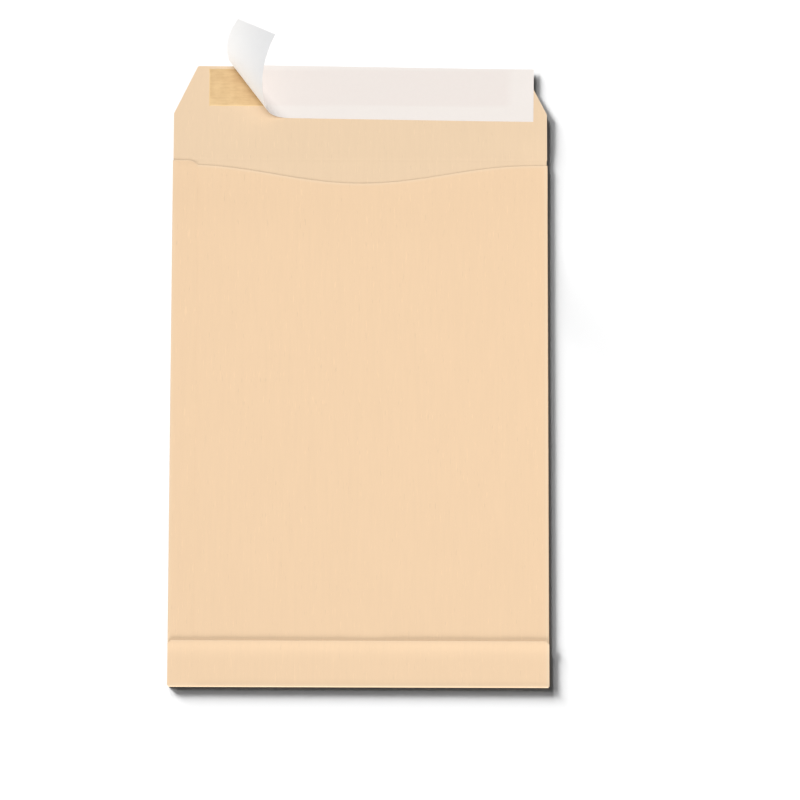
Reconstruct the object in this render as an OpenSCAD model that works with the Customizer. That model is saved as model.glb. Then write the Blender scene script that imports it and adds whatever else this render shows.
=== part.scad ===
// Pocket envelope folded from one sheet of kraft paper, with a window in its front and a self-seal flap.
// It lies on its front, with the flap open and flat and the release liner peeled back at one end.
// The origin is the middle of the pocket on its resting face. +Y points to the flap and +Z is up.

/* [Pocket] */
// Width of the pocket, from side fold to side fold
pocket_w = 229; // [200:1:330]
// Height of the pocket, from bottom fold to flap crease
pocket_h = 324; // [220:1:460]
// Thickness of the kraft paper
paper_t = 0.16; // [0.1:0.01:0.2]
// Clear height between the front panel and the back panel
pocket_gap = 0.8; // [0.4:0.1:1]

/* [Mouth] */
// Distance from the crease down to the ends of the mouth edge
mouth_drop = 3.3; // [1:0.1:8]
// Further dip of the mouth edge in its middle
mouth_dip = 11.4; // [2:0.1:30]
// Straight stretch at each end of the mouth edge
mouth_shoulder = 9; // [4:0.5:25]

/* [Seams] */
// Width of the side seam flap
seam_w = 15; // [12:0.5:25]
// How far the back panel reaches under the side seam flap
seam_lap = 12; // [6:0.5:12]
// Distance from the crease down to the top of the side seam flap
seam_drop = 0.5; // [0.5:0.1:3]
// Width of the corner cut off the side seam flap
seam_corner_w = 4; // [1:0.5:8]
// Height of that cut corner
seam_corner_h = 2.4; // [1:0.1:6]
// Height of the bottom flap
bottom_h = 28; // [15:0.5:50]
// Size of the corners cut off the bottom flap
bottom_corner = 2; // [0.5:0.5:6]
// Length over which the bottom flap comes down from its fold to the back panel
bottom_ramp = 3; // [2:0.5:8]
// Distance from the start of the bottom fold to the ends of the layers inside it
bottom_tuck = 0.4; // [0.2:0.1:1]

/* [Flap] */
// Height of the closing flap
flap_h = 58.9; // [40:0.1:90]
// Height of its straight sides
flap_side_h = 28.9; // [5:0.1:35]
// How far its sides stand in from the side folds
flap_inset = 0.3; // [0.3:0.1:5]
// How far its top corners stand in from the side folds
flap_top_inset = 14.9; // [8:0.1:17]
// How much lower its top edge ends on the right than on the left
flap_top_fall = 1.4; // [0:0.1:1.4]
// Radius of its corners
flap_corner_r = 1.5; // [0.5:0.5:6]
// Width of the line scored at the crease
score_w = 0.8; // [0.2:0.1:0.8]
// Depth of that line
score_t = 0.04; // [0.01:0.01:0.06]

/* [Window] */
// Width of the window hole
window_w = 100; // [40:1:110]
// Height of the window hole
window_h = 50; // [20:1:90]
// Radius of its corners
window_r = 3; // [1:0.5:10]
// Distance from the window hole to the nearer side fold
window_side = 23; // [15:1:40]
// Distance from the window hole to the crease
window_top = 51; // [20:1:80]
// Thickness of the window film
film_t = 0.05; // [0.02:0.01:0.1]
// How far the film reaches past the window hole
film_margin = 9; // [4:0.5:12]

/* [Self-seal strip] */
// Height of the adhesive strip
glue_h = 24; // [10:0.5:26]
// Thickness of the adhesive strip
glue_t = 0.08; // [0.03:0.01:0.2]
// Distance from the adhesive strip to the left end of the flap's top edge
glue_edge = 1.5; // [1.5:0.5:5]
// Distance from the ends of the adhesive strip to the side folds
glue_side = 21.5; // [18:0.5:60]

/* [Release liner] */
// Height of the liner
liner_h = 33; // [26:0.5:36]
// Thickness of the liner
liner_t = 0.09; // [0.05:0.01:0.2]
// How far the liner stands past the left end of the flap's top edge
liner_rise = 0.3; // [0:0.1:3]
// Distance from the stuck end of the liner to the side fold
liner_side = 8.2; // [4:0.1:16]
// Distance from its other end to the other side fold, before that end was peeled
liner_tab_side = 3.2; // [1:0.1:16]
// Angle that the liner was laid off square by, clockwise
liner_skew_angle = 0.7; // [0:0.1:0.7]

/* [Peeled end] */
// Distance along the liner from its peeled end to the point where the lines of the roll meet
roll_in = 10.2; // [6:0.1:16]
// Distance from the top edge of the liner up to that point
roll_up = 28.7; // [20:0.1:40]
// Angle between the liner's edge and the line where it leaves the adhesive
roll_angle = 46.3; // [40:0.1:55]
// Angle of the fan of lines in the tight part of the roll
roll_fan_angle = 11.9; // [8:0.1:14]
// Degrees that the liner turns for each degree of the fan in the tight part
tight_angle_ratio = 8.7; // [7:0.1:9]
// Degrees that it turns for each degree of the fan in the loose part
loose_angle_ratio = 1.5; // [1:0.1:2]

/* [Hidden] */
KRAFT = "#F3D3AE";
FILM = "#EFDCC4";
GLUE = "#EBC78E";
LINER = "#F3EFEA";

ARC_SIDES = 64;
MOUTH_STEPS = 72;
CORNER_STEPS = 8;
ROLL_COLUMNS = 44;
LINER_ROWS = 10;
TALL = 10;

side = pocket_w / 2;
crease_y = pocket_h / 2;

// Undersides of the layers, from the resting face up
back_z = paper_t + pocket_gap;
seam_z = back_z + paper_t;
bottom_flap_z = seam_z + paper_t;

// Outer radius of each fold: half the height of what it wraps
back_fold_r = (back_z + paper_t) / 2;
seam_fold_r = (seam_z + paper_t) / 2;
bottom_fold_r = (bottom_flap_z + paper_t) / 2;

front_left = -side + seam_fold_r;
front_right = side - back_fold_r;
bottom_fold_y = -crease_y + bottom_fold_r;
inner_bottom_y = bottom_fold_y + bottom_tuck;
seam_edge_x = -side + seam_w;
bottom_flap_y = -crease_y + bottom_h;

window_x = -side + window_side;
window_y = crease_y - window_top - window_h;

flap_top_y = crease_y + flap_h;
glue_top_y = flap_top_y - glue_edge;
glue_z = paper_t;

liner_left = -side + liner_tab_side;
liner_right = side - liner_side;
liner_top_y = flap_top_y + liner_rise;
liner_bottom_y = liner_top_y - liner_h;
liner_z = glue_z + glue_t;

function unit(v) = v / norm(v);

// The vector v turned by an angle about a unit axis
function turned(v, axis, angle) =
    v * cos(angle) + cross(axis, v) * sin(angle) + axis * (axis * v) * (1 - cos(angle));

// Points of the arc that rounds corner b of a counter-clockwise outline, between neighbours a and c
function corner_arc(a, b, c, r) =
    let (
        to_a = unit(a - b),
        to_c = unit(c - b),
        half = acos(to_a * to_c) / 2,
        centre = b + unit(to_a + to_c) * r / sin(half),
        start = b + to_a * r / tan(half) - centre,
        first = atan2(start.y, start.x)
    )
    [for (i = [0 : CORNER_STEPS])
        let (angle = first + (180 - 2 * half) * i / CORNER_STEPS)
        centre + r * [cos(angle), sin(angle)]];

// Height of the mouth edge of the back panel at x: a dip with soft ends between two straight stretches
function mouth_y(x) =
    let (reach = side - mouth_shoulder)
    crease_y - mouth_drop - mouth_dip * (abs(x) < reach ? (1 + cos(180 * x / reach)) / 2 : 0);

module layer(z, thickness = paper_t) {
    translate([0, 0, z]) linear_extrude(thickness) children();
}

module box_between(x0, x1, y0, y1) {
    translate([x0, y0]) square([x1 - x0, y1 - y0]);
}

// Section of a fold: half a ring that bulges to +X
module fold_section(r) {
    intersection() {
        difference() {
            circle(r, $fn = ARC_SIDES);
            circle(r - paper_t, $fn = ARC_SIDES);
        }
        translate([0, -r]) square([r, 2 * r]);
    }
}

// Fold along Y up to top_y, with its outermost line at x. It starts where the layers in the bottom fold end.
module side_fold(x, r, top_y) {
    direction = sign(x);
    translate([x - direction * r, top_y, r])
        rotate([90, 0, 0])
            linear_extrude(top_y - inner_bottom_y)
                mirror([direction < 0 ? 1 : 0, 0]) fold_section(r);
}

module bottom_fold() {
    translate([front_left, bottom_fold_y, bottom_fold_r])
        rotate([0, 90, 0])
            linear_extrude(front_right - front_left)
                rotate([0, 0, -90]) fold_section(bottom_fold_r);
}

module window_hole() {
    translate([window_x, window_y]) {
        translate([window_r, 0]) square([window_w - 2 * window_r, window_h]);
        translate([0, window_r]) square([window_w, window_h - 2 * window_r]);
        for (x = [window_r, window_w - window_r], y = [window_r, window_h - window_r])
            translate([x, y]) circle(window_r, $fn = ARC_SIDES);
    }
}

module flap_outline() {
    half_w = side - flap_inset;
    half_top = side - flap_top_inset;
    side_top_y = crease_y + flap_side_h;
    corners = [
        [half_w, crease_y],
        [half_w, side_top_y],
        [half_top, flap_top_y - flap_top_fall],
        [-half_top, flap_top_y],
        [-half_w, side_top_y],
        [-half_w, crease_y]
    ];
    polygon([
        corners[0],
        for (i = [1 : 4]) each corner_arc(corners[i - 1], corners[i], corners[i + 1], flap_corner_r),
        corners[5]
    ]);
}

// Front panel and closing flap, which lie in one plane when the flap is open
module front_and_flap() {
    difference() {
        layer(0) {
            difference() {
                union() {
                    box_between(front_left, front_right, bottom_fold_y, crease_y);
                    flap_outline();
                }
                window_hole();
            }
        }
        translate([0, crease_y, paper_t])
            rotate([90, 0, 90])
                linear_extrude(2 * pocket_w, center = true)
                    polygon([[-score_w / 2, 0], [0, -score_t], [score_w / 2, 0]]);
    }
}

module back_panel() {
    left = seam_edge_x - seam_lap;
    step = (front_right - left) / MOUTH_STEPS;
    layer(back_z)
        polygon([
            [left, inner_bottom_y],
            [front_right, inner_bottom_y],
            for (i = [MOUTH_STEPS : -1 : 0]) let (x = left + i * step) [x, mouth_y(x)]
        ]);
}

module seam_flap() {
    top_y = crease_y - seam_drop;
    layer(seam_z)
        polygon([
            [front_left, inner_bottom_y],
            [seam_edge_x, inner_bottom_y],
            [seam_edge_x, top_y - seam_corner_h],
            [seam_edge_x - seam_corner_w, top_y],
            [front_left, top_y]
        ]);
}

// The bottom flap lies over the side seam flap, and beside it comes down to the back panel
module bottom_flap() {
    intersection() {
        union() {
            layer(bottom_flap_z) box_between(-side, seam_edge_x, bottom_fold_y, bottom_flap_y);
            translate([seam_edge_x, 0, 0])
                rotate([90, 0, 90])
                    linear_extrude(side - seam_edge_x)
                        bottom_flap_section();
        }
        layer(0, TALL)
            polygon([
                [-side, bottom_fold_y],
                [side, bottom_fold_y],
                [side, bottom_flap_y - bottom_corner],
                [side - bottom_corner, bottom_flap_y],
                [-side + bottom_corner, bottom_flap_y],
                [-side, bottom_flap_y - bottom_corner]
            ]);
    }
}

module bottom_flap_section() {
    low_y = bottom_fold_y + bottom_ramp;
    polygon([
        [bottom_fold_y, bottom_flap_z],
        [low_y, seam_z],
        [bottom_flap_y, seam_z],
        [bottom_flap_y, seam_z + paper_t],
        [low_y, seam_z + paper_t],
        [bottom_fold_y, bottom_flap_z + paper_t]
    ]);
}

module envelope_body() {
    color(KRAFT) {
        front_and_flap();
        side_fold(side, back_fold_r, crease_y - mouth_drop);
        side_fold(-side, seam_fold_r, crease_y - seam_drop);
        back_panel();
        seam_flap();
        bottom_fold();
        bottom_flap();
    }
}

module window_film() {
    color(FILM)
        layer(paper_t, film_t)
            box_between(window_x - film_margin, window_x + window_w + film_margin,
                        window_y - film_margin, window_y + window_h + film_margin);
}

module flap_adhesive() {
    color(GLUE)
        layer(glue_z, glue_t)
            box_between(-side + glue_side, side - glue_side, glue_top_y - glue_h, glue_top_y);
}

// The lines of the roll all pass through one point, so the liner bends there without stretching
roll_point = [liner_left + roll_in, liner_top_y + roll_up, liner_z];
up = [0, 0, 1];
tight_line = [cos(roll_angle), -sin(roll_angle), 0];
across_tight_line = [-sin(roll_angle), -cos(roll_angle), 0];
tight_axis = unit(tight_angle_ratio * tight_line + up);
tight_rate = norm([tight_angle_ratio, 1]);
loose_line = turned(tight_line, tight_axis, -roll_fan_angle * tight_rate);
loose_up = turned(up, tight_axis, -roll_fan_angle * tight_rate);
loose_axis = unit(loose_angle_ratio * loose_line + loose_up);
loose_rate = norm([loose_angle_ratio, 1]);
roll_start = roll_point.x + (roll_up + liner_h) / tan(roll_angle);

// Where the point x, y of the flat liner goes, at a height above its lower face
function on_liner(x, y, height) =
    let (
        flat = [x, y, liner_z] - roll_point,
        fan = atan2(flat * across_tight_line, flat * tight_line)
    )
    fan <= 0 ? [x, y, liner_z + height]
    : fan <= roll_fan_angle
    ? roll_point + turned(norm(flat) * tight_line + height * up, tight_axis, -fan * tight_rate)
    : roll_point + turned(norm(flat) * loose_line + height * loose_up, loose_axis,
                          -(fan - roll_fan_angle) * loose_rate);

module release_liner() {
    columns = [
        for (i = [0 : ROLL_COLUMNS]) liner_left + (roll_start - liner_left) * i / ROLL_COLUMNS,
        liner_right
    ];
    last_column = len(columns) - 1;
    faces_at = [0, liner_t];
    function index(i, j, k) = (i * (LINER_ROWS + 1) + j) * 2 + k;
    points = [
        for (x = columns, j = [0 : LINER_ROWS], height = faces_at)
            on_liner(x, liner_bottom_y + liner_h * j / LINER_ROWS, height)
    ];
    upper_and_lower = [
        for (i = [0 : last_column - 1], j = [0 : LINER_ROWS - 1]) each [
            [index(i, j, 1), index(i, j + 1, 1), index(i + 1, j + 1, 1)],
            [index(i, j, 1), index(i + 1, j + 1, 1), index(i + 1, j, 1)],
            [index(i, j, 0), index(i + 1, j + 1, 0), index(i, j + 1, 0)],
            [index(i, j, 0), index(i + 1, j, 0), index(i + 1, j + 1, 0)]
        ]
    ];
    long_edges = [
        for (i = [0 : last_column - 1]) each [
            [index(i, 0, 0), index(i, 0, 1), index(i + 1, 0, 1)],
            [index(i, 0, 0), index(i + 1, 0, 1), index(i + 1, 0, 0)],
            [index(i, LINER_ROWS, 0), index(i + 1, LINER_ROWS, 1), index(i, LINER_ROWS, 1)],
            [index(i, LINER_ROWS, 0), index(i + 1, LINER_ROWS, 0), index(i + 1, LINER_ROWS, 1)]
        ]
    ];
    short_edges = [
        for (j = [0 : LINER_ROWS - 1]) each [
            [index(0, j, 0), index(0, j + 1, 1), index(0, j, 1)],
            [index(0, j, 0), index(0, j + 1, 0), index(0, j + 1, 1)],
            [index(last_column, j, 0), index(last_column, j, 1), index(last_column, j + 1, 1)],
            [index(last_column, j, 0), index(last_column, j + 1, 1), index(last_column, j + 1, 0)]
        ]
    ];
    color(LINER)
        translate([roll_start, liner_top_y])
            rotate(-liner_skew_angle)
                translate([-roll_start, -liner_top_y])
                    polyhedron(points, concat(upper_and_lower, long_edges, short_edges));
}

envelope_body();
window_film();
flap_adhesive();
release_liner();
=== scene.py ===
"""Dresses a large kraft envelope that lies back up, with its flap open and its release liner half peeled.

Sizes are in metres and angles in radians, in the frame of the solid model.
"""

import math

import bpy
from bpy.props import FloatProperty, FloatVectorProperty, IntProperty, PointerProperty
from mathutils import Matrix, Vector, noise


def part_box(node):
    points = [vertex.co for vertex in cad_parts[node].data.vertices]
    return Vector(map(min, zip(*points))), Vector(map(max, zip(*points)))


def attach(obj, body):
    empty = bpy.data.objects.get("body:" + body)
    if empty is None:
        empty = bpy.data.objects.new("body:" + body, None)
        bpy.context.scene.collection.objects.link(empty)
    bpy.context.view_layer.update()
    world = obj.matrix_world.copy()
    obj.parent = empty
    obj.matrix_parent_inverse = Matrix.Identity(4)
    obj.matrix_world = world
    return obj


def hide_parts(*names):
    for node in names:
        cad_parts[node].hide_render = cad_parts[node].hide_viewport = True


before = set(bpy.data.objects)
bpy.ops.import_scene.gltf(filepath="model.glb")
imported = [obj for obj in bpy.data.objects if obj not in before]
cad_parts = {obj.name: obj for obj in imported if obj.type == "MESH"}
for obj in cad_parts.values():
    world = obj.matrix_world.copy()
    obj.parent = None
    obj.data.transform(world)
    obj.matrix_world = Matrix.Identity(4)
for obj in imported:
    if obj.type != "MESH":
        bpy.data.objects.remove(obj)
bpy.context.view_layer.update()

bl_info = {
    "name": "Paper envelope",
    "version": (1, 0, 0),
    "blender": (4, 5, 0),
    "location": "View3D > Sidebar > Envelope",
    "description": "Models and paints a kraft envelope with a window, a self-seal strip and a peeled liner",
    "category": "Add Mesh",
}

MM = 0.001

# Reach of the sheet, the film and the adhesive, from the frame
BODY_LOW, BODY_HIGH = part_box("envelope_body")
SIDE = BODY_HIGH.x
CREASE_Y = -BODY_LOW.y
FLAP_TOP_Y = BODY_HIGH.y
FILM_LOW, FILM_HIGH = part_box("window_film")
GLUE_LOW, GLUE_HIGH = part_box("flap_adhesive")

# Least and greatest step of a grid, its steps beside an edge or a fold, and the steps round a fold
CLOSEST = 0.12 * MM
COARSE = 6 * MM
FINE_OFFSETS = [distance * MM for distance in (0.3, 0.7, 1.2, 2, 3.2, 5, 8, 12)]
FOLD_STEPS = 12

# Reach of a weld, room between a side fold and the frame, and least turn of a sharp edge
WELD = 0.001 * MM
FOLD_SPARE = 0.02 * MM
SHARP = math.radians(40)

# Waves of the back panel, of the bottom flap's edge and of the adhesive: sizes, and places in the noise
BACK_WAVE_X = 50 * MM
BACK_WAVE_Y = 90 * MM
BACK_WAVE_AT = 1.7
EDGE_WAVE_X = 30 * MM
EDGE_WAVE_AT = (0.3, 2.1)
WOBBLE_SIZE = 4 * MM
WOBBLE_AT = 4

# Share by which the bottom flap's edge springs up unevenly, and by which the sag draws in at the mouth
EDGE_UNEVEN = 0.4
TIGHTER_AT_MOUTH = 0.6

# Share by which the sheet's right side springs up wider and higher past the mouth
WIDER_PAST_MOUTH = 1.3
HIGHER_PAST_MOUTH = 0.3

# Height of the ridges beside the flap's crease, and how far from it they stand
CREASE_RIDGE = 0.02 * MM
CREASE_REACH = 1.2 * MM

# Widths of the paler strips beside a cut edge and beside a fold: rubbed paper, and a painted highlight where
# edges and folds catch the light
EDGE_WEAR_AND_HIGHLIGHT = 0.6 * MM
CREST_WEAR_AND_HIGHLIGHT = 1.1 * MM

# Wear and painted highlight of the seam flap's edge and fold, least paleness of the whole bottom flap, and
# start of the window ring's wear and painted highlight
SEAM_EDGE_WEAR_AND_HIGHLIGHT = 0.3
SEAM_FOLD_WEAR_AND_HIGHLIGHT = 0.5
BOTTOM_PALENESS = 0.15
RING_EDGE = 0.9

# Heights of the adhesive as shares of its room: its rim, what its middle adds, its underside
STRIP_RIM = 0.15
STRIP_SWELL = 0.8
STRIP_UNDERSIDE = 0.02

# Extra depth that paints shade on the adhesive next to the peel line, where the rolled liner shades it, and
# width over which it starts to show through the liner
PEEL_SHADE = 0.7
STUCK_BLUR = 1.5 * MM

# How far past its peel line the liner still follows the flap
LEAVES_FLAP = 2 * MM

# The wide lamp above the paper, the sun along the paper and the soft sun on the liner
ABOVE_PLACE = (0.1, 0.02, 1.7)
ABOVE_SIZE = 1.6
KEY_DIRECTION = (0.25, 1, -0.25)
KEY_SOFTNESS = math.radians(16)
LINER_DIRECTION = (0.25, 0.15, -1)
LINER_SOFTNESS = math.radians(165)

# Suns that draw the drop shadow: degrees from +X towards -Y, slope of the rays, share of the light
FLOOR_SUNS = ((20, 0.17, 0.14), (40, 0.13, 0.43), (50, 0.115, 0.25), (70, 0.17, 0.2))
FLOOR_SUN_SOFTNESS = math.radians(9)

# The floor
FLOOR_SIZE = 12
FLOOR_DROP = 0.02 * MM
FLOOR_COLOUR = (0.9, 0.9, 0.9)


def length(name, default, about):
    """A size in metres that the sidebar can change."""
    return FloatProperty(name=name, description=about, default=default, unit="LENGTH", subtype="DISTANCE",
                         precision=5)


def angle(name, degrees, about):
    """An angle that the sidebar can change."""
    return FloatProperty(name=name, description=about, default=math.radians(degrees), unit="ROTATION",
                         subtype="ANGLE")


def number(name, default, about):
    """A plain number, not under 0, that the sidebar can change."""
    return FloatProperty(name=name, description=about, default=default, min=0)


def colour(name, default, about):
    """A plain colour that the sidebar can change."""
    return FloatVectorProperty(name=name, description=about, default=default, size=3, min=0, max=1,
                               subtype="COLOR")


class SheetSettings(bpy.types.PropertyGroup):
    """Sizes of the folded sheet that the frame's boxes don't give."""

    paper: length("Paper", 0.16 * MM, "Thickness of the kraft paper")
    gap: length("Pocket gap", 0.8 * MM, "Clear height between the front and the back panel at the folds")
    sag: length("Sag", 0.45 * MM, "How far the back panel sinks towards the front panel between the folds")
    sag_reach: length("Sag reach", 14 * MM, "How far from a side fold the panel has sunk most of the way")
    low_reach: length("Low sag reach", 45 * MM, "The same distance from the bottom fold")
    mouth_drop: length("Mouth drop", 3.3 * MM, "Distance from the crease down to the ends of the mouth edge")
    mouth_dip: length("Mouth dip", 11.4 * MM, "Further dip of the mouth edge in its middle")
    mouth_shoulder: length("Mouth shoulder", 9 * MM, "Straight stretch at each end of the mouth edge")
    seam_width: length("Seam width", 15 * MM, "Width of the side seam flap")
    seam_lap: length("Seam lap", 12 * MM, "How far the back panel reaches under the side seam flap")
    seam_drop: length("Seam drop", 0.5 * MM, "Distance from the crease down to the top of the seam flap")
    seam_corner_width: length("Seam corner width", 4 * MM, "Width of the corner cut off the side seam flap")
    seam_corner_height: length("Seam corner height", 2.4 * MM, "Height of that cut corner")
    bottom_height: length("Bottom flap", 28 * MM, "Height of the bottom flap")
    bottom_corner: length("Bottom corner", 2 * MM, "Size of the corners cut off the bottom flap")
    bottom_ramp: length("Bottom ramp", 3 * MM, "Length over which the flap comes down to the back panel")
    bottom_tuck: length("Bottom tuck", 0.4 * MM, "How far the layers end short of the bottom fold")
    flap_side: length("Flap side", 28.9 * MM, "Height of the straight sides of the closing flap")
    flap_inset: length("Flap inset", 0.3 * MM, "How far the flap's sides stand in from the side folds")
    flap_top_inset: length("Flap top inset", 14.9 * MM, "How far the flap's top corners stand in")
    flap_top_fall: length("Flap top fall", 1.4 * MM, "How much lower the flap's top edge ends on the right")
    flap_corner: length("Flap corner", 1.5 * MM, "Radius of the flap's corners")
    window_margin: length("Window margin", 9 * MM, "How far the film reaches past the window hole")
    window_radius: length("Window radius", 3 * MM, "Radius of the corners of the window hole")
    window_ring: length("Window ring", 5 * MM, "Width of the band of faces drawn round the window hole")
    edge_lift: length("Edge lift", 0.58 * MM, "How far the bottom flap's free edge springs up")
    edge_reach: length("Edge reach", 8 * MM, "Width of the strip along that edge that isn't glued")
    curl: length("Curl", 0.8 * MM, "How far the sheet's right side springs up from the table at the mouth")
    curl_reach: length("Curl reach", 6 * MM, "How far from that side it has come down most of the way")
    free_reach: length("Free reach", 20 * MM, "Length past the mouth over which the flap springs up further")
    mouth_sag: length("Mouth sag", 0.33 * MM, "How much further the back panel sinks along the mouth edge")
    mouth_reach: length("Mouth reach", 25 * MM, "How far from the mouth edge that extra sag is felt")
    press_reach: length("Press reach", 45 * MM, "Length of the left fold's upper part that is pressed flat")
    seam_sag: length("Seam sag", 0.1 * MM, "How far the top of the side seam flap sinks past the back panel")
    seam_reach: length("Seam reach", 3 * MM, "How far from the left fold it has sunk most of the way")
    seam_follow: length("Seam follow", 8 * MM, "Length of the seam flap's top that follows its cut corner")
    wave: length("Waves", 0.1 * MM, "Height of the slow waves in the back panel")
    outside: colour("Outside", (0.905, 0.655, 0.425), "Colour of the kraft paper's outer face")
    inside: colour("Inside", (0.86, 0.648, 0.438), "Colour of its inner face")
    # The cut-edge colour is also what the rubbed strips with painted highlight beside edges and folds fade
    # to
    cut: colour("Cut edge", (0.93, 0.74, 0.53), "Colour of its cut edges")


class FilmSettings(bpy.types.PropertyGroup):
    """The pane in the window."""

    tint: colour("Tint", (0.87, 0.76, 0.62), "Colour of the glassine pane")
    opacity: FloatProperty(name="Opacity", description="How much the pane hides", default=0.6, min=0, max=1,
                           subtype="FACTOR")


class AdhesiveSettings(bpy.types.PropertyGroup):
    """The tacky strip on the flap."""

    wobble: length("Wobble", 0.35 * MM, "How uneven the strip's edges are")
    taper: length("Taper", 0.6 * MM, "Width over which the strip thins out at its edges")
    # Painted shade: how far from the peel line the strip is drawn darker, where the rolled liner shades it
    peel_shade_reach: length("Peel shade reach", 16 * MM, "How far from the peel line the strip is drawn together and darker")
    tint: colour("Tint", (0.825, 0.575, 0.285), "Colour of the adhesive over the paper")
    # Also the colour of the painted shade next to the peel line
    thick_and_shade_tint: colour("Thick tint", (0.59, 0.365, 0.16), "Colour of the adhesive where it lies thickest")


class LinerSettings(bpy.types.PropertyGroup):
    """The release liner and the roll of its peeled end."""

    thickness: length("Thickness", 0.09 * MM, "Thickness of the liner")
    height: length("Height", 33 * MM, "Height of the liner")
    rise: length("Rise", 0.3 * MM, "How far the liner stands past the top edge of the flap")
    stuck_side: length("Stuck side", 8.2 * MM, "Distance from the stuck end to the other side fold")
    roll_in: length("Roll in", 10.2 * MM, "Distance along the liner from its end to the roll's point")
    roll_up: length("Roll up", 28.7 * MM, "Distance from the liner's top edge up to the roll's point")
    tab_side: length("Tab side", 3.2 * MM, "Distance from the side fold to the peeled end when stuck")
    skew: angle("Skew", 0.7, "Angle that the liner was laid off square by, clockwise")
    roll_angle: angle("Roll angle", 46.3, "Angle at which the roll crosses the liner")
    roll_fan: angle("Roll fan", 11.9, "Angle of the fan of lines in the tight part")
    tight_ratio: number("Tight ratio", 8.7, "Turn of the tight part per turn of the fan")
    loose_ratio: number("Loose ratio", 1.5, "Turn of the loose part per turn of the fan")
    columns: IntProperty(name="Columns", description="Steps along the peeled part", default=200, min=20)
    rows: IntProperty(name="Rows", description="Steps across the liner", default=28, min=4)
    face: colour("Face", (0.905, 0.845, 0.80), "Colour of the liner's upper face")
    stuck: colour("Stuck face", (0.875, 0.80, 0.755), "Colour where the adhesive shows through")
    # The coated face's colours change with height as painted light: greyer high on the roll as painted
    # shade, paler and warmer where it leaves the flap as painted reflection of the kraft
    coated: colour("Coated face", (0.765, 0.765, 0.77), "Colour of its coated face, high on the roll")
    coated_low_reflection: colour("Coated low", (0.99, 0.97, 0.945), "Colour of that face where it leaves the flap")


class StageSettings(bpy.types.PropertyGroup):
    """The camera and the lamps."""

    distance: length("Distance", 2.8, "Distance of the camera from the frame's origin")
    tilt: angle("Tilt", 10.01, "Lean of the view from straight down")
    roll: angle("Roll", 0.13, "Turn of the object in the picture, clockwise")
    aim_x: length("Aim across", 24.62 * MM, "Place across the object at the picture's centre")
    aim_y: length("Aim along", 13.11 * MM, "Place along the object at the picture's centre")
    lens: FloatProperty(name="Lens", description="Focal length in millimetres", default=208.2, min=1)
    above: FloatProperty(name="Lamp above", description="Power of the wide lamp above the paper", default=26,
                         unit="POWER")
    key: number("Key sun", 3.1, "Strength of the low sun along the paper")
    liner: number("Liner sun", 2.95, "Strength of the soft sun on the liner")
    floor: number("Floor suns", 3.5, "Light that the low suns give the floor together")
    world: number("World", 0.08, "Strength of the light from all round")


def smooth(value):
    """Rises softly from 0 to 1 as value does."""
    value = min(max(value, 0), 1)
    return value * value * (3 - 2 * value)


def stations(start, end, fine, fixed=()):
    """Places from start to end, close together near each fine place and with each fixed one among them."""
    kept = sorted({start, end, *fixed, *(place for place in fine if start < place < end)})
    for place in fine:
        for offset in FINE_OFFSETS:
            for candidate in (place - offset, place + offset):
                clear = min(abs(candidate - other) for other in kept)
                if start < candidate < end and clear > CLOSEST:
                    kept.append(candidate)
    kept.sort()
    filled = []
    for a, b in zip(kept, kept[1:]):
        parts = math.ceil((b - a) / COARSE)
        filled += [a + (b - a) * step / parts for step in range(parts)]
    return filled + [end]


def between(places, low, high):
    """Those of the places that lie from low to high."""
    return [place for place in places if low - WELD <= place <= high + WELD]


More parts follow.
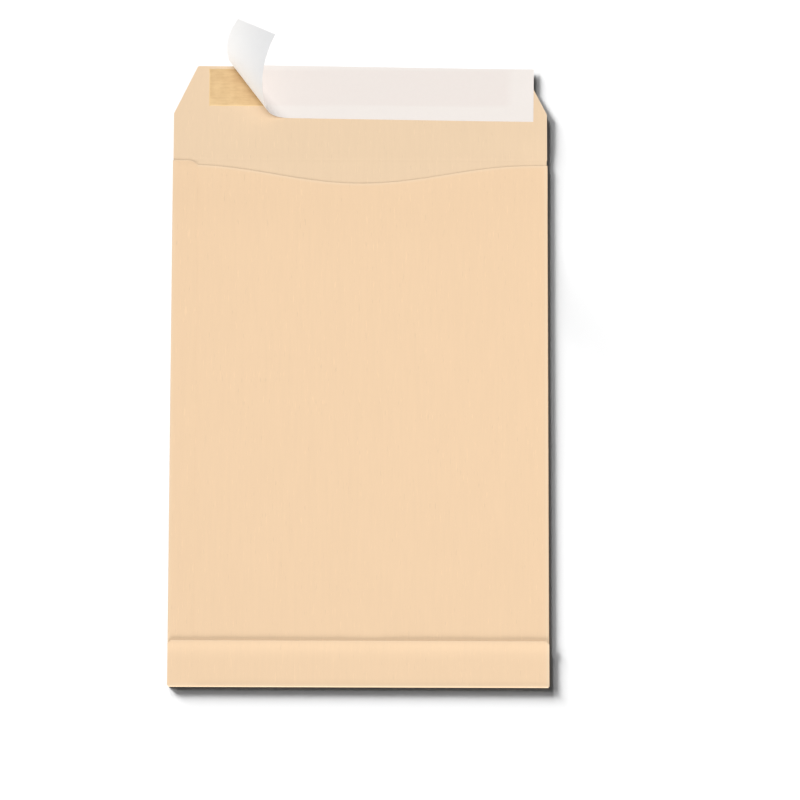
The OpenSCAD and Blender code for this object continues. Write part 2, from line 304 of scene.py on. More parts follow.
class Sheet:
    """The kraft sheet once it is folded.

    A panel's method gives a place half way through the paper, and how pale the paper is drawn there, from 0
    to 1: rubbed paper and a painted highlight along edges and folds.
    """

    def __init__(self, settings):
        self.settings = s = settings
        self.half = s.paper / 2
        self.back_z = s.paper + s.gap
        self.seam_z = self.back_z + s.paper
        self.bottom_z = self.seam_z + s.paper
        self.back_fold = (self.back_z + s.paper) / 2
        self.seam_fold = (self.seam_z + s.paper) / 2
        self.bottom_fold = (self.bottom_z + s.paper) / 2
        self.front_left = -SIDE + self.seam_fold
        self.front_right = SIDE - self.back_fold
        self.front_low = -CREASE_Y + self.bottom_fold
        self.inner_low = self.front_low + s.bottom_tuck
        self.seam_edge = -SIDE + s.seam_width
        self.back_left = self.seam_edge - s.seam_lap
        self.mouth_end = CREASE_Y - s.mouth_drop
        self.seam_top = CREASE_Y - s.seam_drop
        self.bottom_edge = -CREASE_Y + s.bottom_height
        self.flap_half = SIDE - s.flap_inset
        self.flap_half_top = SIDE - s.flap_top_inset
        self.slant_y = CREASE_Y + s.flap_side
        self.window_low = Vector((FILM_LOW.x + s.window_margin, FILM_LOW.y + s.window_margin, 0))
        self.window_high = Vector((FILM_HIGH.x - s.window_margin, FILM_HIGH.y - s.window_margin, 0))

    def mouth(self, x):
        """Height of the mouth edge at x: a dip with soft ends between two straight stretches."""
        s = self.settings
        reach = SIDE - s.mouth_shoulder
        dip = (1 + math.cos(math.pi * x / reach)) / 2 if abs(x) < reach else 0
        return self.mouth_end - s.mouth_dip * dip

    def seam_top_at(self, x):
        """Height of the side seam flap's top edge at x, with its cut corner."""
        s = self.settings
        into_corner = (x - self.seam_edge + s.seam_corner_width) / s.seam_corner_width
        return self.seam_top - s.seam_corner_height * max(into_corner, 0)

    def sunk(self, x, y):
        """How far the layers of the back lie below their height at the folds."""
        s = self.settings
        near = math.exp(-((self.mouth(x) - y) / s.mouth_reach) ** 2)
        reach = s.sag_reach * (1 - TIGHTER_AT_MOUTH * near)
        pressed = smooth((y - self.seam_top + s.press_reach) / s.press_reach)
        hold = 1 - math.exp(-max(y - self.front_low, 0) / s.low_reach)
        hold *= 1 - math.exp(-max(self.front_right - x, 0) / reach)
        hold *= 1 - (1 - pressed) * math.exp(-max(x - self.front_left, 0) / reach)
        waves = noise.noise(Vector((x / BACK_WAVE_X, y / BACK_WAVE_Y, BACK_WAVE_AT)))
        return hold * (s.sag - (1 - near) * s.wave * waves + near * s.mouth_sag)

    def crease_relief(self, y):
        """Height of the soft ridges on both sides of the flap's crease."""
        distance = abs(y - CREASE_Y) / CREASE_REACH
        return CREASE_RIDGE * distance * math.exp(1 - distance)

    def flap_width_at(self, y):
        """Half the width of the closing flap at y, with rounded corners."""
        s = self.settings
        rise = FLAP_TOP_Y - self.slant_y
        lean = self.flap_half - self.flap_half_top
        slant = self.flap_half - lean * max(y - self.slant_y, 0) / rise
        turn = math.atan2(rise, lean)
        tangent = s.flap_corner * math.tan(turn / 2)
        below_top = FLAP_TOP_Y - y
        centre_x = self.flap_half_top - tangent
        arc_height = s.flap_corner * (1 - math.cos(turn))
        if below_top < arc_height:
            slant = centre_x + math.sqrt(max(s.flap_corner ** 2 - (s.flap_corner - below_top) ** 2, 0))
        return slant

    def flap_lift(self, x, y):
        """How far the sheet's right side, and what lies on it, springs up near and past the mouth."""
        s = self.settings
        rise = smooth((y - self.mouth_end + s.press_reach) / s.press_reach)
        free = smooth((y - self.mouth_end) / s.free_reach)
        reach = s.curl_reach * (1 + WIDER_PAST_MOUTH * free)
        height = s.curl * (rise + HIGHER_PAST_MOUTH * free)
        return height * math.exp(-max(self.flap_half - x, 0) / reach)

    def front(self, x, y):
        """The front panel, which is nowhere worn or painted lighter but at its cut edges."""
        return Vector((x, y, self.half + self.crease_relief(y) + self.flap_lift(x, y))), 0

    def flap(self, share, y):
        """The closing flap. share runs from -1 to 1 across it, and y up to the left end of its top edge."""
        width = self.flap_width_at(y)
        x = share * width
        across = min((x + self.flap_half_top) / (2 * self.flap_half_top), 1)
        up = max(y - self.slant_y, 0) / (FLAP_TOP_Y - self.slant_y)
        real_y = y - self.settings.flap_top_fall * across * up
        z = self.half + self.crease_relief(real_y) + self.flap_lift(x, real_y)
        return Vector((x, real_y, z)), self.edge(min(FLAP_TOP_Y - y, width - abs(x)))

    def right_fold(self, angle, y):
        """The right fold, by its angle from a quarter turn down to a quarter turn up."""
        radius = self.back_fold - self.half
        return self.fold_point(self.front_right, 1, radius, self.back_fold, angle, y)

    def left_fold(self, angle, y):
        """The same on the left, where the seam flap goes over the back panel."""
        radius = self.seam_fold - self.half
        return self.fold_point(self.front_left, -1, radius, self.seam_fold, angle, y)

    def fold_point(self, x, direction, radius, z, angle, y):
        """A side fold, flattened where the layers above it sink and the sheet below it springs up."""
        lift = self.flap_lift(x, y)
        flat = 1 - (self.sunk(x, y) + lift) / (2 * radius)
        height = (z + radius * math.sin(angle) - self.half) * flat
        reach = (radius - FOLD_SPARE) * math.cos(angle)
        return Vector((x + direction * reach, y, self.half + lift + height)), self.fold_wear_and_highlight(angle)

    def low_fold(self, x, angle):
        """The bottom fold."""
        radius = self.bottom_fold - self.half
        y = self.front_low - radius * math.cos(angle)
        z = self.bottom_fold + radius * math.sin(angle)
        return Vector((x, y, z)), self.fold_wear_and_highlight(angle)

    def back(self, x, y):
        """The back panel. y runs up to the mouth's ends, and the upper part follows the mouth edge."""
        edge = self.mouth(x)
        share = smooth((y - self.inner_low) / (self.mouth_end - self.inner_low))
        real_y = y + (edge - self.mouth_end) * share
        z = self.back_z + self.half - self.sunk(x, real_y)
        return Vector((x, real_y, z)), max(self.edge(self.mouth_end - y), self.crest(self.front_right - x))

    def seam(self, x, y):
        """The side seam flap, whose top follows its cut corner."""
        s = self.settings
        edge = self.seam_top_at(x)
        share = smooth((y - self.seam_top + s.seam_follow) / s.seam_follow)
        real_y = y + (edge - self.seam_top) * share
        past_back = smooth((real_y - self.mouth_end) / (self.seam_top - self.mouth_end))
        hold = 1 - math.exp(-(x - self.front_left) / s.seam_reach)
        z = self.seam_z + self.half - self.sunk(x, real_y) - s.seam_sag * past_back * hold
        wear_and_highlight = max(self.edge(self.seam_top - y), SEAM_EDGE_WEAR_AND_HIGHLIGHT * self.edge(self.seam_edge - x))
        return Vector((x, real_y, z)), max(wear_and_highlight, SEAM_FOLD_WEAR_AND_HIGHLIGHT * self.crest(x - self.front_left))

    def bottom(self, x, y):
        """The bottom flap, which lies on the seam flap at the left and on the back panel elsewhere."""
        s = self.settings
        corner = max(y - self.bottom_edge + s.bottom_corner, 0)
        limit = SIDE - corner
        x = min(max(x, -limit), limit)
        off_seam = smooth((x - self.seam_edge) / s.bottom_ramp)
        off_fold = smooth((y - self.front_low) / s.bottom_ramp)
        low = self.seam_z - self.bottom_z
        spring = s.edge_lift * smooth(1 - (self.bottom_edge - y) / s.edge_reach)
        spring *= 1 + EDGE_UNEVEN * noise.noise(Vector((x / EDGE_WAVE_X, *EDGE_WAVE_AT)))
        z = self.bottom_z + self.half + low * off_seam * off_fold - self.sunk(x, y) + spring
        wear_and_highlight = self.edge(min(self.bottom_edge - y, limit - abs(x)))
        wear_and_highlight = max(wear_and_highlight, self.crest(y - self.front_low), self.crest(self.front_right - x))
        return Vector((x, y, z)), BOTTOM_PALENESS + (1 - BOTTOM_PALENESS) * wear_and_highlight

    @staticmethod
    def edge(distance):
        """1 at a cut edge, 0 past the strip beside it."""
        return max(0, 1 - distance / EDGE_WEAR_AND_HIGHLIGHT)

    @staticmethod
    def crest(distance):
        """Rubbed paper and a painted highlight beside a fold, fading away from it."""
        return math.exp(-(distance / CREST_WEAR_AND_HIGHLIGHT) ** 2)

    @staticmethod
    def fold_wear_and_highlight(angle):
        """Rubbed paper and a painted highlight round a fold, most at its outermost line."""
        return math.cos(angle) ** 2


class Roll:
    """The liner and its peeled end, bent over the lines of one fan, first tightly and then loosely.

    All the lines meet in the roll's point, beyond the liner's peeled corner.
    """

    def __init__(self, settings, sheet):
        self.settings = s = settings
        self.sheet = sheet
        self.left = -SIDE + s.tab_side
        self.right = SIDE - s.stuck_side
        self.top = FLAP_TOP_Y + s.rise
        self.low = self.top - s.height
        self.base = GLUE_HIGH.z
        self.point = Vector((self.left + s.roll_in, self.top + s.roll_up, self.base))
        self.up = Vector((0, 0, 1))
        self.tight_line = Vector((math.cos(s.roll_angle), -math.sin(s.roll_angle), 0))
        self.across = Vector((-math.sin(s.roll_angle), -math.cos(s.roll_angle), 0))
        self.tight_axis = (s.tight_ratio * self.tight_line + self.up).normalized()
        self.tight_rate = math.hypot(s.tight_ratio, 1)
        fan_turn = Matrix.Rotation(-s.roll_fan * self.tight_rate, 3, self.tight_axis)
        self.loose_line = fan_turn @ self.tight_line
        self.loose_up = fan_turn @ self.up
        self.loose_axis = (s.loose_ratio * self.loose_line + self.loose_up).normalized()
        self.loose_rate = math.hypot(s.loose_ratio, 1)
        self.start = self.point.x + (s.roll_up + s.height) / math.tan(s.roll_angle)
        corner = Vector((self.start, self.top, 0))
        skew = Matrix.Rotation(-s.skew, 4, "Z")
        self.skewed = Matrix.Translation(corner) @ skew @ Matrix.Translation(-corner)

    def place(self, x, y):
        """Where the point x, y of the flat, square liner goes, half way through its thickness."""
        place = self.skewed @ self.rolled(x, y)
        on_flap = math.exp(-max(self.past_line(x, y), 0) / LEAVES_FLAP)
        place.z += self.sheet.flap_lift(place.x, place.y) * on_flap
        return place

    def rolled(self, x, y):
        """The same for a liner that was laid on square."""
        s = self.settings
        height = s.thickness / 2
        flat = Vector((x, y, self.base)) - self.point
        fan = math.atan2(flat.dot(self.across), flat.dot(self.tight_line))
        reach = flat.length
        if fan <= 0:
            return Vector((x, y, self.base + height))
        if fan <= s.roll_fan:
            turn = Matrix.Rotation(-fan * self.tight_rate, 3, self.tight_axis)
            return self.point + turn @ (reach * self.tight_line + height * self.up)
        turn = Matrix.Rotation(-(fan - s.roll_fan) * self.loose_rate, 3, self.loose_axis)
        return self.point + turn @ (reach * self.loose_line + height * self.loose_up)

    def past_line(self, x, y):
        """How far a point of the square liner lies past the line where it leaves the adhesive."""
        return (Vector((x, y, self.base)) - self.point).dot(self.across)

    def stuck(self, x, y):
        """1 where the liner lies, or lay, on the adhesive, 0 where it doesn't."""
        place = self.skewed @ Vector((x, y, 0))
        inset = min(place.x - GLUE_LOW.x, GLUE_HIGH.x - place.x, place.y - GLUE_LOW.y, GLUE_HIGH.y - place.y)
        return smooth(inset / STUCK_BLUR)


def deselect_all():
    """Leaves edit mode and selects nothing."""
    if bpy.context.mode != "OBJECT":
        bpy.ops.object.mode_set(mode="OBJECT")
    bpy.ops.object.select_all(action="DESELECT")


def make_active(obj):
    """Selects one object alone."""
    deselect_all()
    obj.select_set(True)
    bpy.context.view_layer.objects.active = obj


def grid(name, across, along, place, attribute):
    """A grid with a vertex for each pair of stations. place gives its place and its attribute's value."""
    deselect_all()
    bpy.ops.mesh.primitive_grid_add(x_subdivisions=len(across) - 1, y_subdivisions=len(along) - 1, size=2)
    obj = bpy.context.object
    obj.name = name
    values = obj.data.attributes.new(attribute, "FLOAT", "POINT").data
    for index, vertex in enumerate(obj.data.vertices):
        column = round((vertex.co.x + 1) / 2 * (len(across) - 1))
        row = round((vertex.co.y + 1) / 2 * (len(along) - 1))
        vertex.co, values[index].value = place(across[column], along[row])
    return obj


def join(name, parts):
    """Joins grids whose edges meet into one sheet."""
    deselect_all()
    for part in parts:
        part.select_set(True)
    bpy.context.view_layer.objects.active = parts[0]
    bpy.ops.object.join()
    bpy.ops.object.mode_set(mode="EDIT")
    bpy.ops.mesh.select_all(action="SELECT")
    bpy.ops.mesh.remove_doubles(threshold=WELD)
    bpy.ops.object.mode_set(mode="OBJECT")
    parts[0].name = name
    parts[0].data.name = name
    return parts[0]


def thicken(obj, thickness, inner=0, rim=0):
    """Gives a sheet its thickness, half to each side. Its inner face and rim move on by that many slots."""
    make_active(obj)
    solid = obj.modifiers.new("thickness", "SOLIDIFY")
    solid.thickness = thickness
    solid.offset = 0
    solid.use_even_offset = True
    solid.material_offset = inner
    solid.material_offset_rim = rim
    bpy.ops.object.modifier_apply(modifier=solid.name)
    bpy.ops.object.shade_smooth_by_angle(angle=SHARP)


def window_ring_points(sheet, columns, rows):
    """Grid points along the outer edge of the window's ring, clockwise from above, the first one twice."""
    margin = sheet.settings.window_ring
    low = sheet.window_low - Vector((margin, margin, 0))
    high = sheet.window_high + Vector((margin, margin, 0))
    across = between(columns, low.x, high.x)
    along = between(rows, low.y, high.y)
    points = [Vector((low.x, y, sheet.half)) for y in along[:-1]]
    points += [Vector((x, high.y, sheet.half)) for x in across[:-1]]
    points += [Vector((high.x, y, sheet.half)) for y in along[:0:-1]]
    points += [Vector((x, low.y, sheet.half)) for x in across[::-1]]
    return points


def on_window_ring(sheet, point, share):
    """A place between a point outside the window and the nearest place on its rounded outline."""
    radius = sheet.settings.window_radius
    low, high = sheet.window_low, sheet.window_high
    core_x = min(max(point.x, low.x + radius), high.x - radius)
    core_y = min(max(point.y, low.y + radius), high.y - radius)
    core = Vector((core_x, core_y, point.z))
    outline = core + (point - core).normalized() * radius
    # The second value is the wear and painted highlight beside the window's cut edge
    return point.lerp(outline, share), smooth((share - RING_EDGE) / (1 - RING_EDGE))


def delete_window_faces(front, sheet):
    """Takes out the faces that the ring round the window replaces."""
    margin = sheet.settings.window_ring
    low, high = sheet.window_low, sheet.window_high
    make_active(front)
    bpy.ops.object.mode_set(mode="EDIT")
    bpy.ops.mesh.select_mode(type="FACE")
    bpy.ops.mesh.select_all(action="DESELECT")
    bpy.ops.object.mode_set(mode="OBJECT")
    for face in front.data.polygons:
        x, y = face.center.x, face.center.y
        inside_x = low.x - margin < x < high.x + margin
        face.select = inside_x and low.y - margin < y < high.y + margin
    bpy.ops.object.mode_set(mode="EDIT")
    bpy.ops.mesh.delete(type="FACE")
    bpy.ops.object.mode_set(mode="OBJECT")


def folded_sheet(sheet):
    """The envelope's one sheet, panel by panel, with its outer face as the front of each face."""
    s = sheet.settings
    ring_x = (sheet.window_low.x - s.window_ring, sheet.window_high.x + s.window_ring)
    ring_y = (sheet.window_low.y - s.window_ring, sheet.window_high.y + s.window_ring)
    columns = stations(
        sheet.front_left, sheet.front_right,
        fine=(sheet.front_left, sheet.front_right, sheet.window_low.x, sheet.window_high.x),
        fixed=ring_x,
    )
    rows = stations(
        sheet.front_low, CREASE_Y,
        fine=(sheet.front_low, CREASE_Y, sheet.window_low.y, sheet.window_high.y),
        fixed=(sheet.inner_low, sheet.mouth_end, sheet.seam_top, *ring_y),
    )
    right_rows = between(rows, sheet.inner_low, sheet.mouth_end)
    left_rows = between(rows, sheet.inner_low, sheet.seam_top)
    flap_columns = [x / sheet.flap_half for x in (-sheet.flap_half, *columns, sheet.flap_half)]
    flap_rows = stations(CREASE_Y, FLAP_TOP_Y, fine=(CREASE_Y, sheet.slant_y, FLAP_TOP_Y))
    back_columns = stations(sheet.back_left, sheet.front_right, fine=(sheet.seam_edge, sheet.front_right))
    seam_columns = stations(sheet.front_left, sheet.seam_edge, fine=(sheet.front_left, sheet.seam_edge))
    bottom_columns = [-SIDE, *columns, SIDE]
    bottom_rows = stations(sheet.front_low, sheet.bottom_edge, fine=(sheet.front_low, sheet.bottom_edge))
    turn = [math.pi * (step / FOLD_STEPS - 0.5) for step in range(FOLD_STEPS + 1)]

    front = grid("front", columns[::-1], rows, sheet.front, "wear_and_highlight")
    delete_window_faces(front, sheet)
    ring = grid("ring", window_ring_points(sheet, columns, rows), (0, RING_EDGE, 1),
                lambda point, share: on_window_ring(sheet, point, share), "wear_and_highlight")
    return [
        front,
        ring,
        grid("flap", flap_columns[::-1], flap_rows, sheet.flap, "wear_and_highlight"),
        grid("right_fold", turn[::-1], right_rows, sheet.right_fold, "wear_and_highlight"),
        grid("back", back_columns, right_rows, sheet.back, "wear_and_highlight"),
        grid("left_fold", turn, left_rows, sheet.left_fold, "wear_and_highlight"),
        grid("seam", seam_columns, left_rows, sheet.seam, "wear_and_highlight"),
        grid("low_fold", columns, turn, sheet.low_fold, "wear_and_highlight"),
        grid("bottom", bottom_columns, bottom_rows, sheet.bottom, "wear_and_highlight"),
    ]


def strip_point(settings, sheet, roll, x, y):
    """A point of the adhesive's upper face, and how thick the adhesive is there, plus a painted shade next
    to the peel line.
    """
    centre = (GLUE_LOW + GLUE_HIGH) / 2
    half = (GLUE_HIGH - GLUE_LOW) / 2
    pull = settings.wobble * (1 + noise.noise(Vector((x / WOBBLE_SIZE, y / WOBBLE_SIZE, WOBBLE_AT))))
    inset = min(half.x - abs(x - centre.x), half.y - abs(y - centre.y))
    depth = smooth(inset / settings.taper)
    height = (GLUE_HIGH.z - GLUE_LOW.z) * (STRIP_RIM + STRIP_SWELL * depth)
    place = Vector((
        centre.x + (x - centre.x) * (1 - pull / half.x),
        centre.y + (y - centre.y) * (1 - pull / half.y),
        GLUE_LOW.z + height + sheet.flap_lift(x, y),
    ))
    # The added term is painted shade next to the peel line, where the rolled liner shades the strip
    return place, depth + PEEL_SHADE * math.exp(-max(roll.past_line(x, y), 0) / settings.peel_shade_reach)


def close_strip(obj, sheet):
    """Gives the adhesive's upper face sides and an underside just above the flap."""
    upper = [vertex.co.copy() for vertex in obj.data.vertices]
    room = GLUE_HIGH.z - GLUE_LOW.z
    thicken(obj, room)
    for index, vertex in enumerate(obj.data.vertices):
        vertex.co = upper[index % len(upper)]
        if index >= len(upper):
            lift = sheet.flap_lift(vertex.co.x, vertex.co.y)
            vertex.co.z = GLUE_LOW.z + STRIP_UNDERSIDE * room + lift


class Link:
    """An output of a node tree. Sums on it add Math nodes."""

    def __init__(self, nodes, socket):
        self.nodes = nodes
        self.socket = socket

    def math(self, operation, first, second):
        """A Math node on two values."""
        return self.nodes.node("Math", {"operation": operation}, {0: first, 1: second})

    def __add__(self, other):
        return self.math("ADD", self, other)

    def __radd__(self, other):
        return self.math("ADD", other, self)

    def __sub__(self, other):
        return self.math("SUBTRACT", self, other)

    def __rsub__(self, other):
        return self.math("SUBTRACT", other, self)

    def __mul__(self, other):
        return self.math("MULTIPLY", self, other)

    def __rmul__(self, other):
        return self.math("MULTIPLY", other, self)


class Nodes:
    """The node tree of a material or a world, built up from nothing."""

    def __init__(self, owner):
        self.owner = owner
        owner.use_nodes = True
        self.tree = owner.node_tree
        self.tree.nodes.clear()

    def node(self, kind, settings=None, inputs=None, output=0):
        """Adds a node, sets it up, then fills or links its inputs, and gives one of its outputs."""
        made = self.tree.nodes.new("ShaderNode" + kind)
        for name, value in (settings or {}).items():
            setattr(made, name, value)
        for name, value in (inputs or {}).items():
            if isinstance(value, Link):
                self.tree.links.new(value.socket, made.inputs[name])
            else:
                made.inputs[name].default_value = value
        return Link(self, made.outputs[output])

    def end(self, kind, surface):
        """Ends the tree in its output node."""
        made = self.tree.nodes.new("ShaderNodeOutput" + kind)
        self.tree.links.new(surface.socket, made.inputs["Surface"])


class Paint(Nodes):
    """A new material."""

    def __init__(self, name):
        super().__init__(bpy.data.materials.new(name))

    def attribute(self, name):
        """A value kept with the points of the mesh."""
        return self.node("Attribute", {"attribute_name": name}, output="Fac")

    def noise(self, size_x, size_y, size_z=None, detail=2, roughness=0.5, warp=0):
        """Noise on the object's own place, whose spots measure the given sizes. It runs from 0 to 1."""
        place = self.node("TexCoord", output="Object")
        scale = (1 / size_x, 1 / size_y, 1 / (size_z or size_x))
        mapped = self.node("Mapping", None, {"Vector": place, "Scale": scale})
        look = {"Scale": 1, "Detail": detail, "Roughness": roughness, "Distortion": warp}
        return self.node("TexNoise", None, {"Vector": mapped, **look})

    def band(self, value, low, high):
        """0 where a value is under low, 1 where it is over high, soft between."""
        limits = {"Value": value, "From Min": low, "From Max": high}
        return self.node("MapRange", {"interpolation_type": "SMOOTHSTEP"}, limits)

    def mix(self, factor, first, second):
        """A colour part of the way from the first to the second."""
        return self.node("Mix", {"data_type": "RGBA"}, {0: factor, 6: first, 7: second}, output=2)

    def shade(self, tint, factor):
        """A colour times a number."""
        grey = self.node("CombineColor", None, {0: factor, 1: factor, 2: factor})
        settings = {"data_type": "RGBA", "blend_type": "MULTIPLY"}
        return self.node("Mix", settings, {0: 1, 6: tint, 7: grey}, output=2)

    def bump(self, height, distance):
        """A relief whose height of 1 stands for that distance."""
        return self.node("Bump", None, {"Height": height, "Distance": distance})

    def finish(self, inputs):
        """Ends the tree in one Principled shader and gives the material."""
        self.end("Material", self.node("BsdfPrincipled", None, inputs))
        return self.owner


def rgba(tint):
    """A plain colour with full cover."""
    return (*tint, 1)


def kraft_material(name, tint, cut_tint):
    """Ribbed kraft paper: upright streaks, short fibres, flecks and slow clouds, paler where it is worn and
    where a highlight is painted along edges and folds.
    """
    paint = Paint(name)
    streaks = paint.noise(1.8 * MM, 24 * MM, detail=3)
    fibres = paint.noise(0.22 * MM, 2.4 * MM, detail=3, roughness=0.6, warp=0.4)
    grain = paint.noise(0.12 * MM, 0.16 * MM)
    clouds = paint.noise(22 * MM, 34 * MM, detail=3)
    formation = paint.noise(2.6 * MM, 4 * MM, detail=4, roughness=0.6)
    flecks = paint.band(paint.noise(0.8 * MM, 8 * MM, detail=1), 0.66, 0.76)
    dark_flecks = paint.band(paint.noise(0.75 * MM, 7 * MM, 0.9 * MM, detail=1), 0.69, 0.79)
    level = (0.95 + 0.05 * streaks + 0.02 * fibres + 0.02 * clouds + 0.015 * formation
             + 0.05 * flecks - 0.07 * dark_flecks)
    plain = paint.shade(rgba(tint), level)
    # Paler towards the cut-edge colour: rubbed paper, and a painted highlight along edges and folds
    worn_and_highlit = paint.mix(0.55 * paint.attribute("wear_and_highlight"), plain, rgba(cut_tint))
    height = 0.5 * streaks + 0.5 * fibres + 0.35 * grain + 0.3 * flecks
    return paint.finish({
        "Base Color": worn_and_highlit,
        "Roughness": 0.72 + 0.16 * fibres,
        "Specular IOR Level": 0.25,
        "Normal": paint.bump(height, 0.02 * MM),
    })


def cut_material(tint):
    """The cut edge of the paper: pale layers of fibre."""
    paint = Paint("kraft_cut_edge")
    fibres = paint.noise(0.1 * MM, 0.1 * MM, 0.03 * MM, detail=3)
    return paint.finish({
        "Base Color": paint.shade(rgba(tint), 0.92 + 0.14 * fibres),
        "Roughness": 0.9,
        "Specular IOR Level": 0.15,
        "Normal": paint.bump(fibres, 0.02 * MM),
    })


def glassine_material(settings):
    """Hazy glassine: smooth, faintly cloudy, and half hiding what lies behind it."""
    paint = Paint("glassine")
    clouds = paint.noise(3 * MM, 6 * MM, detail=4, roughness=0.6)
    fibres = paint.noise(0.3 * MM, 2 * MM, warp=0.5)
    return paint.finish({
        "Base Color": paint.shade(rgba(settings.tint), 0.93 + 0.08 * clouds + 0.05 * fibres),
        "Roughness": 0.28 + 0.12 * clouds,
        "Alpha": settings.opacity,
        "Normal": paint.bump(clouds + 0.3 * fibres, 0.03 * MM),
    })


def adhesive_material(settings):
    """Tacky golden film: streaked along the strip, browner where it lies thick and as painted shade next to
    the peel line, with a wet gleam.
    """
    paint = Paint("adhesive")
    streaks = paint.noise(9 * MM, 1.1 * MM, detail=4, roughness=0.6)
    clouds = paint.noise(6 * MM, 5 * MM, detail=3)
    beads = paint.noise(0.5 * MM, 0.4 * MM, detail=3)
    # depth also carries the painted shade next to the peel line
    depth = paint.attribute("depth")
    thick_and_shaded = 0.45 * paint.band(0.45 * streaks + 0.55 * clouds, 0.35, 0.68) + 1.1 * (depth - 1)
    tint = paint.mix(thick_and_shaded, rgba(settings.tint), rgba(settings.thick_and_shade_tint))
    return paint.finish({
        "Base Color": tint,
        "Roughness": 0.34 + 0.2 * beads,
        "Specular IOR Level": 0.4,
        "Normal": paint.bump(0.7 * streaks + 0.3 * beads, 0.03 * MM),
    })


def liner_material(name, tint, stuck_tint, high_shade_tint, roughness):
    """Liner paper: faint clouds and fibres, a warmer tone over the adhesive and another tone high up; on the
    coated face these paint a warm reflection of the kraft low down and shade high up.
    """
    paint = Paint(name)
    formation = paint.noise(2.2 * MM, 2.6 * MM, detail=4, roughness=0.6)
    clouds = paint.noise(16 * MM, 11 * MM, detail=3)
    fibres = paint.noise(1.4 * MM, 0.3 * MM, warp=0.5)
    show = paint.attribute("stuck") * (0.55 + 0.6 * clouds)
    place = paint.node("TexCoord", output="Object")
    height = paint.node("SeparateXYZ", None, {"Vector": place}, output="Z")
    tone = paint.mix(show, rgba(tint), rgba(stuck_tint))
    # Mixes to the high tone by height: on the coated face this is painted shade high up over a painted warm
    # reflection low down
    tone = paint.mix(paint.band(height, 4 * MM, 34 * MM), tone, rgba(high_shade_tint))
    return paint.finish({
        "Base Color": paint.shade(tone, 0.965 + 0.03 * formation + 0.015 * fibres + 0.02 * clouds),
        "Roughness": roughness,
        "Specular IOR Level": 0.35,
        "Normal": paint.bump(0.6 * formation + 0.4 * fibres, 0.012 * MM),
    })


class ENVELOPE_OT_sheet(bpy.types.Operator):
    """Fold the kraft sheet from its panels"""

    bl_idname = "envelope.sheet"
    bl_label = "Kraft sheet"

    def execute(self, context):
        settings = context.scene.envelope_sheet
        sheet = Sheet(settings)
        obj = join("envelope_sheet", folded_sheet(sheet))
        obj.data.materials.append(kraft_material("kraft_outside", settings.outside, settings.cut))
        obj.data.materials.append(kraft_material("kraft_inside", settings.inside, settings.cut))
        obj.data.materials.append(cut_material(settings.cut))
        thicken(obj, settings.paper, inner=1, rim=2)
        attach(obj, "root")
        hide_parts("envelope_body")
        return {"FINISHED"}


class ENVELOPE_OT_film(bpy.types.Operator):
    """Paint the glassine pane of the window"""

    bl_idname = "envelope.film"
    bl_label = "Window film"

    def execute(self, context):
        film = bpy.data.objects["window_film"]
        film.data.materials.clear()
        film.data.materials.append(glassine_material(context.scene.envelope_film))
        return {"FINISHED"}


class ENVELOPE_OT_adhesive(bpy.types.Operator):
    """Lay the self-seal strip on the flap"""

    bl_idname = "envelope.adhesive"
    bl_label = "Adhesive strip"

    def execute(self, context):
        settings = context.scene.envelope_adhesive
        sheet = Sheet(context.scene.envelope_sheet)
        roll = Roll(context.scene.envelope_liner, sheet)
        columns = stations(GLUE_LOW.x, GLUE_HIGH.x, fine=(GLUE_LOW.x, GLUE_HIGH.x))
        rows = stations(GLUE_LOW.y, GLUE_HIGH.y, fine=(GLUE_LOW.y, GLUE_HIGH.y))
        obj = grid("adhesive_strip", columns, rows, lambda x, y: strip_point(settings, sheet, roll, x, y),
                   "depth")
        close_strip(obj, sheet)
        obj.data.materials.append(adhesive_material(settings))
        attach(obj, "root")
        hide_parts("flap_adhesive")
        return {"FINISHED"}


class ENVELOPE_OT_liner(bpy.types.Operator):
    """Lay the release liner on the strip and roll its peeled end back"""

    bl_idname = "envelope.liner"
    bl_label = "Release liner"

    def execute(self, context):
        settings = context.scene.envelope_liner
        roll = Roll(settings, Sheet(context.scene.envelope_sheet))
        peeled = [roll.left + (roll.start - roll.left) * step / settings.columns
                  for step in range(settings.columns)]
        columns = peeled + stations(roll.start, roll.right, fine=(roll.right,))
        rows = [roll.low + settings.height * step / settings.rows for step in range(settings.rows + 1)]
        obj = grid("release_liner_sheet", columns, rows, lambda x, y: (roll.place(x, y), roll.stuck(x, y)),
                   "stuck")
        # The coated face's low colour is a painted warm reflection of the kraft, and its high colour adds
        # painted shade
        low = settings.coated_low_reflection
        face = liner_material("liner_face", settings.face, settings.stuck, settings.face, 0.5)
        obj.data.materials.append(face)
        obj.data.materials.append(liner_material("liner_coated_face_painted_light", low, low, settings.coated, 0.4))
        thicken(obj, settings.thickness, inner=1)
        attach(obj, "root")
        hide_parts("release_liner")
        return {"FINISHED"}


def add_floor():
    """A plain white floor with its top face just under the sheet."""
    deselect_all()
    bpy.ops.mesh.primitive_plane_add(size=FLOOR_SIZE, location=(0, 0, -FLOOR_DROP))
    floor = bpy.context.object
    floor.name = "floor"
    paint = Paint("floor")
    floor.data.materials.append(paint.finish({
        "Base Color": rgba(FLOOR_COLOUR),
        "Roughness": 1.0,
        "Specular IOR Level": 0.0,
    }))
    return floor


def add_area_lamp(name, place, size, power):
    """A square lamp that faces the envelope's middle."""
    deselect_all()
    bpy.ops.object.light_add(type="AREA", location=place)
    lamp = bpy.context.object
    lamp.name = name
    lamp.rotation_euler = (-Vector(place)).to_track_quat("-Z", "Y").to_euler()
    lamp.data.shape = "SQUARE"
    lamp.data.size = size
    lamp.data.energy = power
    return lamp


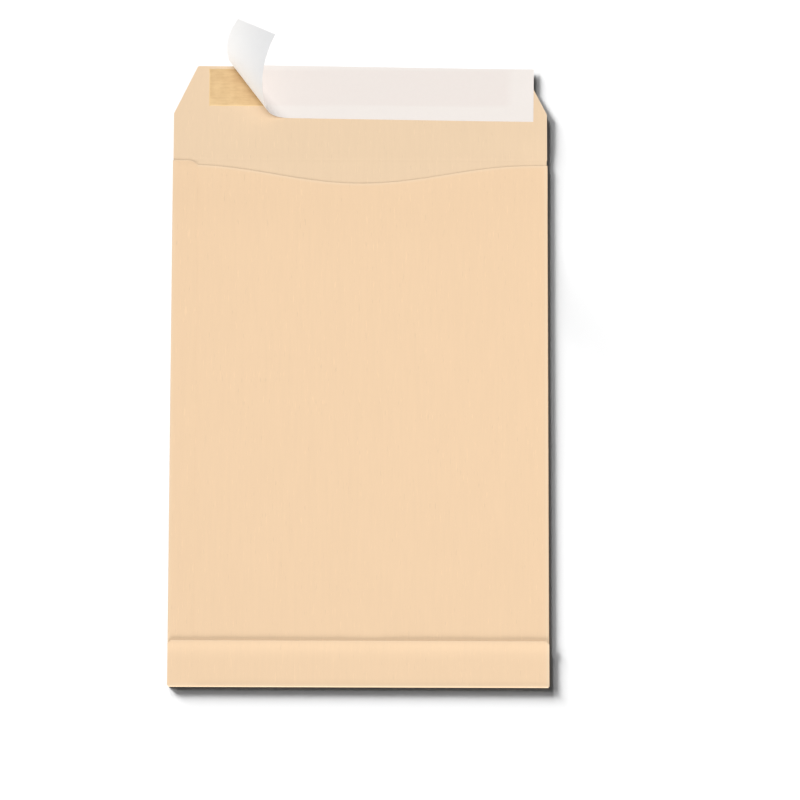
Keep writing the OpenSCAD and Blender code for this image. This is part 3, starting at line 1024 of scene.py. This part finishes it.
def add_sun(name, direction, strength, softness, bounces):
    """A sun that shines in that direction. Its light goes on that many times from what it falls on."""
    deselect_all()
    bpy.ops.object.light_add(type="SUN", location=(0, 0, 1))
    lamp = bpy.context.object
    lamp.name = name
    lamp.rotation_euler = Vector(direction).to_track_quat("-Z", "Y").to_euler()
    lamp.data.energy = strength
    lamp.data.angle = softness
    lamp.data.cycles.max_bounces = bounces
    return lamp


def link_light(lamp, role, state, *objects):
    """Lets a lamp have only those objects, or all but those, as its receivers or its blockers."""
    group = bpy.data.collections.new(f"{lamp.name}_{role}s")
    for obj in objects:
        group.objects.link(obj)
    for member in group.collection_objects:
        member.light_linking.link_state = state
    setattr(lamp.light_linking, f"{role}_collection", group)


def add_lamps(settings, floor, liner):
    """Lights the paper, the liner and the floor, each by lamps of its own."""
    above = add_area_lamp("lamp_above", ABOVE_PLACE, ABOVE_SIZE, settings.above)
    link_light(above, "receiver", "EXCLUDE", floor, liner)
    key = add_sun("lamp_key", KEY_DIRECTION, settings.key, KEY_SOFTNESS, bounces=0)
    link_light(key, "receiver", "EXCLUDE", floor, liner)
    soft = add_sun("lamp_liner", LINER_DIRECTION, settings.liner, LINER_SOFTNESS, bounces=0)
    link_light(soft, "receiver", "INCLUDE", liner)
    link_light(soft, "blocker", "EXCLUDE", liner)
    for degrees, slope, share in FLOOR_SUNS:
        turn = math.radians(degrees)
        direction = (math.cos(turn), -math.sin(turn), -slope)
        strength = settings.floor * share / slope
        sun = add_sun(f"lamp_floor_{degrees}", direction, strength, FLOOR_SUN_SOFTNESS, bounces=1)
        link_light(sun, "receiver", "INCLUDE", floor)


def set_world(strength):
    """Soft light from all round, seen as plain white."""
    world = bpy.data.worlds.new("studio")
    bpy.context.scene.world = world
    nodes = Nodes(world)
    seen = 0
    for ray in ("Is Camera Ray", "Is Glossy Ray", "Is Transmission Ray"):
        path = nodes.node("LightPath", output=ray)
        seen = nodes.node("Math", {"operation": "MAXIMUM"}, {0: seen, 1: path})
    light = nodes.node("Background", None, {"Strength": strength})
    white = nodes.node("Background", None, {"Color": (1, 1, 1, 1)})
    nodes.end("World", nodes.node("MixShader", None, {0: seen, 1: light, 2: white}))


def add_camera(settings):
    """The camera above the envelope, leaning a little towards the pocket's bottom."""
    eye = settings.distance * Vector((0, -math.sin(settings.tilt), math.cos(settings.tilt)))
    aim = Vector((settings.aim_x, settings.aim_y, 0))
    back = (eye - aim).normalized()
    right = Vector((0, 1, 0)).cross(back).normalized()
    up = back.cross(right)
    turned_right = right * math.cos(settings.roll) + up * math.sin(settings.roll)
    turned_up = back.cross(turned_right)
    deselect_all()
    bpy.ops.object.camera_add()
    camera = bpy.context.object
    camera.name = "camera"
    axes = Matrix((turned_right, turned_up, back)).transposed()
    camera.matrix_world = Matrix.Translation(eye) @ axes.to_4x4()
    camera.data.sensor_width = 36
    camera.data.lens = settings.lens
    camera.data.clip_start = 0.01
    camera.data.clip_end = 50
    bpy.context.scene.camera = camera


class ENVELOPE_OT_stage(bpy.types.Operator):
    """Set up the floor, the lamps and the camera"""

    bl_idname = "envelope.stage"
    bl_label = "Stage"

    def execute(self, context):
        settings = context.scene.envelope_stage
        add_lamps(settings, add_floor(), bpy.data.objects["release_liner_sheet"])
        set_world(settings.world)
        add_camera(settings)
        context.scene.view_settings.view_transform = "Standard"
        return {"FINISHED"}


GROUPS = {
    "envelope_sheet": SheetSettings,
    "envelope_film": FilmSettings,
    "envelope_adhesive": AdhesiveSettings,
    "envelope_liner": LinerSettings,
    "envelope_stage": StageSettings,
}
OPERATORS = (ENVELOPE_OT_sheet, ENVELOPE_OT_film, ENVELOPE_OT_adhesive, ENVELOPE_OT_liner, ENVELOPE_OT_stage)


class ENVELOPE_PT_panel(bpy.types.Panel):
    """Lists the envelope's pieces and their settings"""

    bl_idname = "ENVELOPE_PT_panel"
    bl_label = "Envelope"
    bl_space_type = "VIEW_3D"
    bl_region_type = "UI"
    bl_category = "Envelope"

    def draw(self, context):
        for operator in OPERATORS:
            self.layout.operator(operator.bl_idname)
        for name, group in GROUPS.items():
            box = self.layout.box()
            box.label(text=name.replace("_", " ").capitalize())
            for key in group.__annotations__:
                box.prop(getattr(context.scene, name), key)


def register():
    """Registers the classes and gives each scene their settings."""
    for cls in (*GROUPS.values(), *OPERATORS, ENVELOPE_PT_panel):
        bpy.utils.register_class(cls)
    for name, group in GROUPS.items():
        setattr(bpy.types.Scene, name, PointerProperty(type=group))


def unregister():
    """Takes the settings and the classes away again."""
    for name in GROUPS:
        delattr(bpy.types.Scene, name)
    for cls in (ENVELOPE_PT_panel, *OPERATORS, *GROUPS.values()):
        bpy.utils.unregister_class(cls)


def main():
    """Builds and dresses the envelope."""
    register()
    bpy.ops.envelope.sheet()
    bpy.ops.envelope.film()
    bpy.ops.envelope.adhesive()
    bpy.ops.envelope.liner()
    bpy.ops.envelope.stage()


if __name__ == "__main__":
    main()
